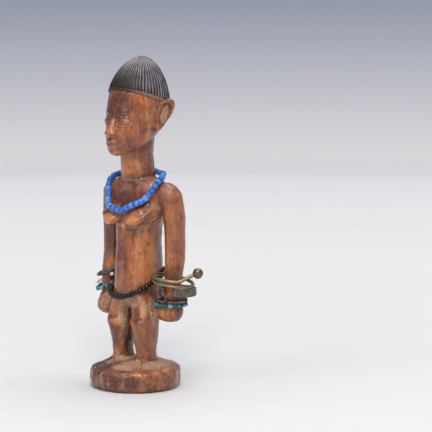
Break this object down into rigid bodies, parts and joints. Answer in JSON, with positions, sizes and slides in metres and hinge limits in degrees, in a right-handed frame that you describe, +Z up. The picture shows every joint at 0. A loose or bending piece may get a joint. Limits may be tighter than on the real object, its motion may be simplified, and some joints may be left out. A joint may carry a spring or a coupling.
{
  "type": "carved twin figure",
  "caption": "Standing carved wooden twin figure on a round base, with ridged hair, a bead necklace, a disc string round the hips and bracelets on both wrists.",
  "frame": {"origin": "middle of the flat underside of the base, on the surface the figure stands on", "axes": "+Z up through the head, -Y the way the figure faces, +X its left side"},
  "size_m": [0.1116, 0.0733, 0.2648],
  "materials": {
    "carved_wood": "rubbed and worn, satin",
    "blue_glass": "gloss",
    "black_discs": "satin",
    "turquoise_beads": "gloss",
    "brown_beads": "gloss",
    "grey_metal": "incised, dull",
    "brass_wire": "aged, satin",
    "clear_beads": "gloss",
    "dark_metal": "dull"
  },
  "bodies": {
    "root": {"figure": "carved_wood", "necklace_bead_01": "blue_glass", "necklace_bead_02": "blue_glass", "necklace_bead_03": "blue_glass", "necklace_bead_04": "blue_glass", "necklace_bead_05": "blue_glass", "necklace_bead_06": "blue_glass", "necklace_bead_07": "blue_glass", "necklace_bead_08": "blue_glass", "necklace_bead_09": "blue_glass", "necklace_bead_10": "blue_glass", "necklace_bead_11": "blue_glass", "necklace_bead_12": "blue_glass", "necklace_bead_13": "blue_glass", "necklace_bead_14": "blue_glass", "necklace_bead_15": "blue_glass", "necklace_bead_16": "blue_glass", "necklace_bead_17": "blue_glass", "necklace_bead_18": "blue_glass", "necklace_bead_19": "blue_glass", "necklace_bead_20": "blue_glass", "necklace_bead_21": "blue_glass", "necklace_bead_22": "blue_glass", "necklace_bead_23": "blue_glass", "necklace_bead_24": "blue_glass", "necklace_bead_25": "blue_glass", "necklace_bead_26": "blue_glass", "necklace_bead_27": "blue_glass", "necklace_bead_28": "blue_glass", "necklace_bead_29": "blue_glass", "necklace_bead_30": "blue_glass", "necklace_bead_31": "blue_glass", "necklace_bead_32": "blue_glass", "necklace_bead_33": "blue_glass", "necklace_bead_34": "blue_glass", "necklace_bead_35": "blue_glass", "necklace_bead_36": "blue_glass", "necklace_bead_37": "blue_glass", "necklace_bead_38": "blue_glass", "waist_string": "black_discs", "left_wrist_turquoise_beads": "turquoise_beads", "left_wrist_brown_beads": "brown_beads", "left_wrist_grey_cuff": "grey_metal", "left_wrist_brass_coil": "brass_wire", "right_wrist_turquoise_beads": "turquoise_beads", "right_wrist_clear_beads": "clear_beads", "right_wrist_dark_ring": "dark_metal"}
  },
  "joints": []
}
